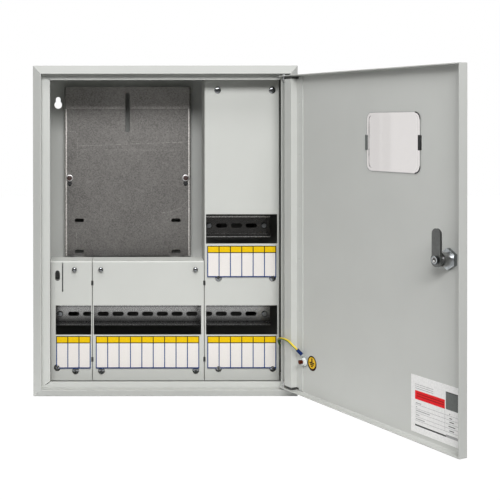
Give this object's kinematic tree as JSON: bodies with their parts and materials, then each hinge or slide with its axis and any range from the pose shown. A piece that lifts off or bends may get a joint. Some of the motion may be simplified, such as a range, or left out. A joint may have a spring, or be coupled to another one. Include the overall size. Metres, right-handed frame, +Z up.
{
  "type": "electric meter box",
  "caption": "Wall box for an electricity meter and modular devices, with folded covers, rails and a hinged door with a window and a cam lock, shown open.",
  "frame": {"origin": "on the back face, in the middle of the four wall-fixing keyholes", "axes": "+X to the right as seen from the front, +Y into the wall, +Z up"},
  "size_m": [0.5413, 0.4798, 0.5],
  "materials": {
    "paint_box": "satin light grey powder coat, fine texture",
    "paint_cover": "satin light grey powder coat, fine texture",
    "paint_door": "satin light grey powder coat, fine texture",
    "zinc_spangle": "hot-dip galvanised, mottled, lightly scratched",
    "zinc_plate": "bright zinc plated",
    "rail_steel": "bright zinc plated",
    "clear_plastic": "clear, glossy",
    "copper_plate": "copper plated",
    "lock_metal": "zinc die casting, dull nickel",
    "wire_cover": "green and yellow insulation",
    "blue_plastic": "matt",
    "label_card": "printed, satin",
    "sticker_film": "printed film, satin",
    "sticker_yellow": "printed film, satin"
  },
  "bodies": {
    "box": {"enclosure_body": "paint_box", "end_cap_upper": "paint_box", "end_cap_lower": "paint_box", "meter_plate": "zinc_spangle", "din_rail_lower": "rail_steel", "din_rail_upper": "rail_steel", "cover_left": "paint_cover", "cover_middle": "paint_cover", "cover_right": "paint_cover", "label_strip_left": "label_card", "label_strip_middle": "label_card", "label_strip_right_low": "label_card", "label_strip_right_high": "label_card", "box_earth_stud": "copper_plate", "box_earth_nut": "zinc_plate", "box_ring_terminal": "zinc_plate", "box_wire_sleeve": "blue_plastic", "earth_wire": "wire_cover", "rail_bracket_low_left": "zinc_plate", "rail_bracket_low_right": "zinc_plate", "rail_bracket_high_left": "zinc_plate", "rail_bracket_high_right": "zinc_plate", "meter_channels": "zinc_plate", "meter_screws": "zinc_plate", "rail_screws": "zinc_plate", "cover_screws": "zinc_plate", "sealing_screws": "zinc_plate", "cover_posts": "zinc_plate"},
    "door": {"door_panel": "paint_door", "hinge_strip": "paint_door", "hinge_pin_upper": "zinc_plate", "hinge_pin_lower": "zinc_plate", "window_pane": "clear_plastic", "lock_housing": "lock_metal", "lock_nut": "zinc_plate", "door_earth_stud": "copper_plate", "door_earth_washer": "zinc_plate", "door_earth_nut": "zinc_plate", "door_ring_terminal": "zinc_plate", "door_wire_sleeve": "blue_plastic", "earth_sticker": "sticker_yellow", "rating_label": "sticker_film"},
    "lock": {"lock_core": "lock_metal", "lock_cam": "zinc_plate", "cam_screw": "zinc_plate"}
  },
  "joints": [
    {"name": "door_hinge", "type": "hinge", "parent": "box", "child": "door", "pos_m": [0.178, -0.1495, 0], "axis": [0, 0, 1], "range_deg": [-116, 0], "deforming": ["earth_wire"]},
    {"name": "lock_turn", "type": "hinge", "parent": "door", "child": "lock", "pos_m": [0.32885, -0.4492, -0.0015], "axis": [0.8988, 0.4384, 0], "range_deg": [0, 90]}
  ]
}
